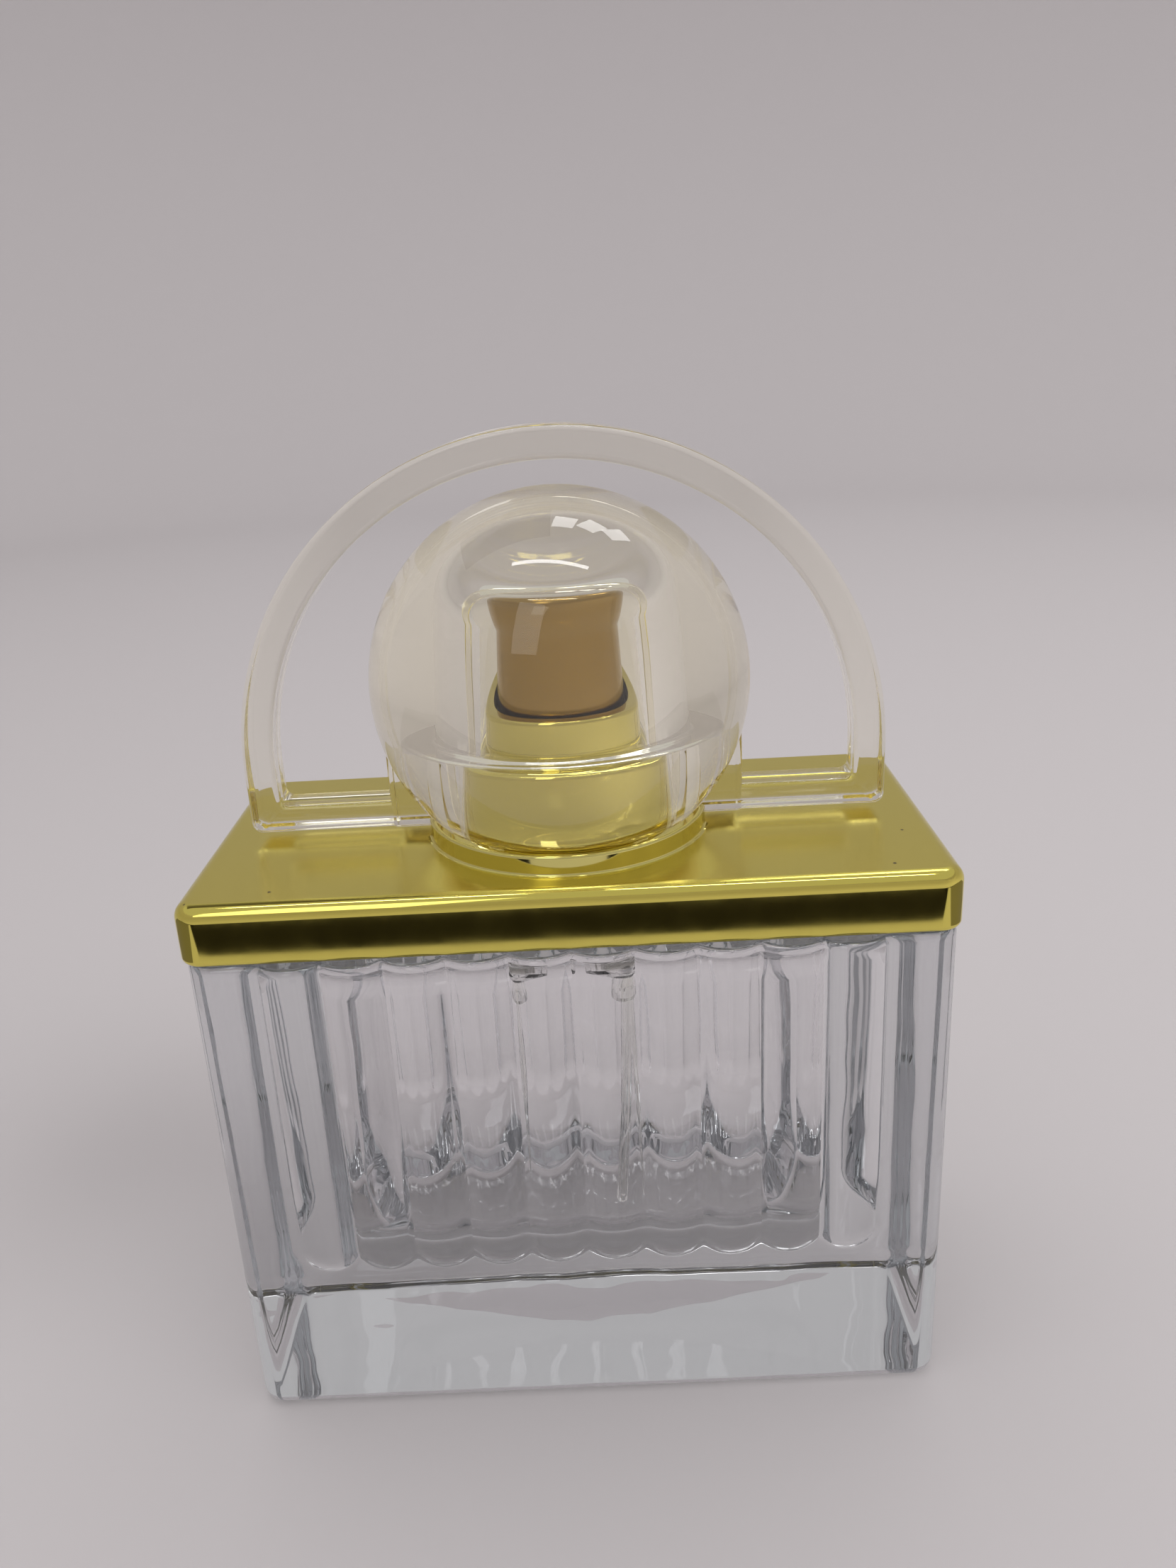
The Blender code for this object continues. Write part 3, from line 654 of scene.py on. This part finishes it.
def dome_profile():
    """The clear ball from its top down the outside, then up the stepped bore to the ceiling."""
    lowest = math.degrees(math.asin((DOME_FOOT + 0.3 - DOME_CENTRE) / DOME_RADIUS))
    outside = arc(0, DOME_CENTRE, DOME_RADIUS, 90, lowest, 72)
    outside[0, 0] = 0.0
    crown = 3.0
    edge = 0.3
    return path(
        outside,
        (outside[-1, 0] - 0.3, DOME_FOOT),
        (DOME_LOWER_BORE, DOME_FOOT),
        arc(DOME_LOWER_BORE - edge, DOME_STEP - edge, edge, 0, 90, 6),
        arc(DOME_UPPER_BORE + edge, DOME_STEP + edge, edge, 270, 180, 6),
        arc(DOME_UPPER_BORE - crown, DOME_CEILING - crown, crown, 0, 90, 12),
        (0.0, DOME_CEILING),
    )


def collar_profile():
    """The gold collar: a lower drum, a rolled step and an upper drum with the button's mouth."""
    wall = 0.5
    return path(
        (COLLAR_MOUTH, COLLAR_TOP - wall),
        arc(COLLAR_MOUTH + 0.1, COLLAR_TOP - 0.1, 0.1, 180, 90, 4),
        arc(COLLAR_UPPER - 0.3, COLLAR_TOP - 0.3, 0.3, 90, 0, 8),
        arc(COLLAR_UPPER + 0.9, COLLAR_STEP + 0.9, 0.9, 180, 270, 8),
        arc(COLLAR_LOWER - 0.5, COLLAR_STEP - 0.5, 0.5, 90, 0, 8),
        (COLLAR_LOWER, COLLAR_FOOT),
        (COLLAR_LOWER - wall, COLLAR_FOOT),
        (COLLAR_LOWER - wall, COLLAR_STEP - wall),
        (COLLAR_UPPER - wall, COLLAR_STEP - wall),
        (COLLAR_UPPER - wall, COLLAR_TOP - wall),
    )


def button_profile():
    """The gold sleeve: a slightly dished top, a small edge round and a straight skirt."""
    edge, wall, roof = 0.6, 0.5, 1.0
    return path(
        (0.0, BUTTON_TOP - 0.35),
        (2.5, BUTTON_TOP - 0.32),
        (4.6, BUTTON_TOP - 0.2),
        arc(BUTTON_RADIUS - edge, BUTTON_TOP - edge, edge, 90, 0, 8),
        (BUTTON_RADIUS, BUTTON_FOOT),
        (BUTTON_RADIUS - wall, BUTTON_FOOT),
        (BUTTON_RADIUS - wall, BUTTON_TOP - roof),
        (0.0, BUTTON_TOP - roof),
    )


def towards_back(grid):
    """Lays a turned grid down so that its axis runs along +Y through the nozzle height."""
    x, y, z = np.moveaxis(grid, -1, 0)
    return np.stack([x, z, NOZZLE_HEIGHT - y], axis=-1)


def nozzle_profile():
    """The swirl insert: a round plug with a cone down to the spray hole."""
    face, edge = NOZZLE_BACK + 2.85, 0.2
    return path(
        (0.0, face - 0.75),
        (0.25, face - 0.75),
        (0.3, face - 0.5),
        (0.9, face),
        arc(NOZZLE_RADIUS - edge, face - edge, edge, 90, 0, 5),
        (NOZZLE_RADIUS, NOZZLE_BACK),
        (0.0, NOZZLE_BACK),
    )


def spring_wire():
    """The return spring: a circle of wire carried up a helix, square to it.

    A point is the helix point at its turn, plus the wire radius times the cosine of the circle's
    angle outwards and its sine along the helix's binormal.
    """
    turn = np.linspace(0, 2 * np.pi * SPRING_TURNS, 48 * SPRING_TURNS + 1)[:, None]
    rise = (SPRING_TOP - SPRING_FOOT - 2 * SPRING_WIRE) / turn[-1, 0]
    lean = math.atan2(rise, SPRING_RADIUS)
    round_wire = np.linspace(0, 2 * np.pi, 12, endpoint=False)
    out = SPRING_RADIUS + SPRING_WIRE * np.cos(round_wire)
    up = SPRING_WIRE * np.sin(round_wire)
    x = out * np.cos(turn) + up * math.sin(lean) * np.sin(turn)
    y = out * np.sin(turn) - up * math.sin(lean) * np.cos(turn)
    z = SPRING_FOOT + SPRING_WIRE + rise * turn + up * math.cos(lean)
    return np.stack([x, y, z], axis=-1)


GLASS = flint_glass()
ACRYLIC = clear_acrylic()
GOLD = anodised_gold("gold anodised aluminium", "#E0D684", 0.05)
PLATE_GOLD = anodised_gold("gold anodised aluminium, satin top", "#E4D66C", 0.05, satin=0.24)
WARM_GOLD = anodised_gold("warm gold anodised aluminium", "#AC9058", 0.18)
PLASTIC = moulded_plastic("natural polypropylene", "#E6E6E0", 0.42)
THIN_PLASTIC = moulded_plastic(
    "natural polypropylene, thin wall", "#F4F4F0", 0.25, transmission=0.85
)
TUBE = clear_tube()
ALUMINIUM = drawn_metal("bright aluminium", "#CFCFD0", 0.22)
STEEL = drawn_metal("stainless steel wire", "#BEBEBE", 0.2)
PALE_INSIDE = moulded_plastic("pale lacquer, inside the plate", "#E8E6E0", 0.4)
RUBBER = moulded_plastic("black nitrile rubber", "#232324", 0.6)

bottle = place(
    surface("bottle_glass", ribbed_glass(), GLASS), "bottle", "flint_glass", "glass_bottle"
)
plate = place(
    surface("gold_plate", plate_shell(), PLATE_GOLD, ring=True),
    "bottle",
    "gold_shell",
    "shoulder_plate",
)
lacquered_underside(plate, PALE_INSIDE)
key_angle = math.degrees(math.asin(KEY_HALF / SEAT_OUTER))
place(
    surface("seat_front", seat_arc(180 + key_angle, 360 - key_angle), GOLD), "bottle", "gold_shell"
)
place(surface("seat_back", seat_arc(key_angle, 180 - key_angle), GOLD), "bottle", "gold_shell")
place(
    surface("pump_collar", turned(collar_profile(), 128), GOLD, ring=True),
    "bottle",
    "gold_shell",
    "collar_shell",
)

sleeve = surface("button_sleeve", turned(button_profile(), 128), WARM_GOLD)
window_radius = NOZZLE_RADIUS + 0.3
window_profile = [(0.0, 2.0), (window_radius, 2.0), (window_radius, 9.0), (0.0, 9.0)]
window = surface("window", towards_back(turned(window_profile, 48)), WARM_GOLD)
place(
    joined("button_sleeve", "DIFFERENCE", sleeve, [window]),
    "button",
    "warm_gold_shell",
    "actuator_shell",
)
place(
    surface("nozzle_insert", towards_back(turned(nozzle_profile(), 48)), PLASTIC),
    "button",
    "natural_plastic",
    "spray_nozzle",
)

spring = place(
    surface("return_spring", spring_wire(), STEEL), "bottle", "spring_steel", "pump_spring"
)
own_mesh(spring)

dome = surface("clear_cap", turned(dome_profile(), 160), ACRYLIC)
handle = surface("handle", handle_bar(), ACRYLIC)
lugs = [surface(f"lug_{side}", lug_block(side), ACRYLIC) for side in (-1, 1)]
cap = place(
    joined("clear_cap", "UNION", dome, [handle, *lugs]),
    "cap",
    "clear_acrylic",
    "cap_dome",
    "cap_handle",
)
# Light passes clear walls, so they throw no lamp shadow of their own
bottle.visible_shadow = False
cap.visible_shadow = False

INNER_FINISH = {
    "collar_liner": PLASTIC,
    "crimp_ferrule": ALUMINIUM,
    "neck_gasket": RUBBER,
    "pump_housing": TUBE,
    "pump_turret": PLASTIC,
    "stem_seal": RUBBER,
    "ball_cage": THIN_PLASTIC,
    "dip_tube": TUBE,
    "pump_stem": PLASTIC,
    "pump_piston": THIN_PLASTIC,
    "inlet_ball": STEEL,
    "actuator_core": PLASTIC,
}
for node, material in INNER_FINISH.items():
    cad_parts[node].data.materials.clear()
    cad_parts[node].data.materials.append(material)


# Floor, light and camera

STUDIO_LIGHT = 1.45  # strength of the pale studio as a lamp
STUDIO_SEEN = 0.6  # and as a wall that shows in mirrors and through glass
LIGHT_BOUNCES = 48  # light crosses many faces inside ribbed glass; a short limit leaves them black

# Plain studio boards: black cloth and grey card
FLAG_BLACK = "#1A1817"
FLAG_GREY = "#6E6A66"


def studio_floor():
    """A round pale floor that curves up into a wall: flat to one radius, then a quarter circle."""
    made = finish("pale paper sweep", "#B1ADAE", Roughness=0.9)[0]
    drop = 0.05  # a film of air under the glass foot, so that the base mirrors as it should
    bowl = path((0.0, 0.0), (200.0, 0.0), arc(700.0, 400.0, 400.0, 270, 360, 24), (1100.0, 900.0))
    bowl[:, 1] -= drop
    grid = turned(bowl, 96)
    rows, columns = grid.shape[:2]
    number = np.arange(rows * columns).reshape(rows, columns)
    corners = [number[:-1], np.roll(number, -1, 1)[:-1], np.roll(number, -1, 1)[1:], number[1:]]
    faces = np.stack(corners, axis=-1).reshape(-1, 4).tolist()
    sweep = mesh_object("paper_sweep", grid, faces, made)
    sweep.data.shade_smooth()
    sweep.data.flip_normals()


def flag(name, corners, colour):
    """A plain flat board of one colour, a quad, for shiny metal to mirror.

    The lens and a look through clear walls don't meet it, and it takes no light away.
    """
    made = finish(f"{name}, matt board", colour, Roughness=0.9, Specular_IOR_Level=0.0)[0]
    board = mesh_object(name, np.array(corners, float), [[0, 1, 2, 3]], made)
    board.visible_camera = False
    board.visible_diffuse = False
    board.visible_shadow = False
    board.visible_transmission = False


def floor_corners(left, right, near, far):
    """The four corners of an oblong that lies one millimetre above the floor."""
    return [(left, far, 1), (right, far, 1), (right, near, 1), (left, near, 1)]


def studio_flags():
    """Boards in front, at both sides and above, so that gold shows dark bands between pale ones."""
    flag("front_flag", floor_corners(-400, 400, -116, -133), FLAG_BLACK)
    flag("left_flag", floor_corners(-400, -118, 60, -116), FLAG_GREY)
    flag("right_flag", floor_corners(118, 400, 60, -116), FLAG_GREY)
    overhead = [(-900, 250, 1200), (-20, 250, 1200), (-20, 1000, 1200), (-900, 1000, 1200)]
    flag("top_flag", overhead, FLAG_GREY)


def panel(name, centre, size, radiance, lights):
    """A soft oblong panel that faces the bottle; its power is pi times area times radiance.

    It either lights the scene or only shows in mirrors and through glass.
    """
    lamp = bpy.data.lights.new(name, "AREA")
    lamp.shape = "RECTANGLE"
    lamp.size, lamp.size_y = size
    lamp.energy = math.pi * size[0] * size[1] * radiance
    made = bpy.data.objects.new(name, lamp)
    made.location = centre
    aim = Vector((0, 0, 0.06)) - Vector(centre)
    made.rotation_euler = aim.to_track_quat("-Z", "Y").to_euler()
    made.visible_diffuse = lights
    made.visible_glossy = not lights
    made.visible_transmission = not lights
    bpy.context.scene.collection.objects.link(made)


def soft_studio():
    """Even pale light all round. The lens, mirrors and glass see it as a pale wall, not a lamp."""
    world = bpy.data.worlds.new("soft studio")
    world.use_nodes = True
    tree = world.node_tree
    ray = add(tree, "ShaderNodeLightPath")
    seen = add(
        tree,
        "ShaderNodeMath",
        {0: ray.outputs["Is Camera Ray"], 1: ray.outputs["Is Glossy Ray"]},
        operation="MAXIMUM",
    )
    shown = add(
        tree,
        "ShaderNodeMath",
        {0: seen.outputs[0], 1: ray.outputs["Is Transmission Ray"]},
        operation="MAXIMUM",
    )
    level = add(
        tree,
        "ShaderNodeMapRange",
        {"Value": shown.outputs[0], "To Min": STUDIO_LIGHT, "To Max": STUDIO_SEEN},
    )
    sky = tree.nodes["Background"]
    sky.inputs["Color"].default_value = linear("#F3F1F1")
    tree.links.new(level.outputs["Result"], sky.inputs["Strength"])
    bpy.context.scene.world = world


def photo_camera():
    """The camera at the photograph's place: pitch, yaw and roll turn its three axes in order."""
    pitch, yaw, roll = (math.radians(a) for a in (CAMERA_PITCH, CAMERA_YAW, CAMERA_ROLL))
    level = math.cos(pitch)
    ahead = Vector((-math.sin(yaw) * level, math.cos(yaw) * level, -math.sin(pitch)))
    right = Vector((math.cos(yaw), math.sin(yaw), 0.0))
    up = right.cross(ahead)
    x_axis = right * math.cos(roll) + up * math.sin(roll)
    y_axis = up * math.cos(roll) - right * math.sin(roll)
    turn = Matrix((x_axis, y_axis, -ahead)).transposed().to_4x4()
    lens = bpy.data.cameras.new("photo_camera")
    lens.sensor_fit = "VERTICAL"
    lens.sensor_height = 36.0
    lens.lens = FOCAL_PIXELS / FRAME_PIXELS * lens.sensor_height
    lens.clip_start = 0.005
    made = bpy.data.objects.new("photo_camera", lens)
    made.matrix_world = Matrix.Translation(Vector(CAMERA_PLACE) * MM) @ turn
    bpy.context.scene.collection.objects.link(made)
    bpy.context.scene.camera = made


studio_floor()
studio_flags()
for number, across in enumerate((0.08, 0.28, 0.48)):
    panel(f"softbox_{number + 1}", (across, 0.46, 1.05), (0.16, 0.18), 5.0, lights=False)
panel("strip_softbox", (-0.02, -0.12, 1.30), (0.8, 0.05), 12.0, lights=False)
panel("key_softbox", (0.75, -0.45, 0.8), (0.6, 0.6), 6.5, lights=True)
panel("side_softbox", (-0.17, -0.46, 0.52), (0.17, 0.34), 1.4, lights=False)
soft_studio()
scene = bpy.context.scene
scene.view_settings.view_transform = "Standard"
scene.cycles.max_bounces = LIGHT_BOUNCES
scene.cycles.transmission_bounces = LIGHT_BOUNCES
scene.cycles.glossy_bounces = LIGHT_BOUNCES
photo_camera()
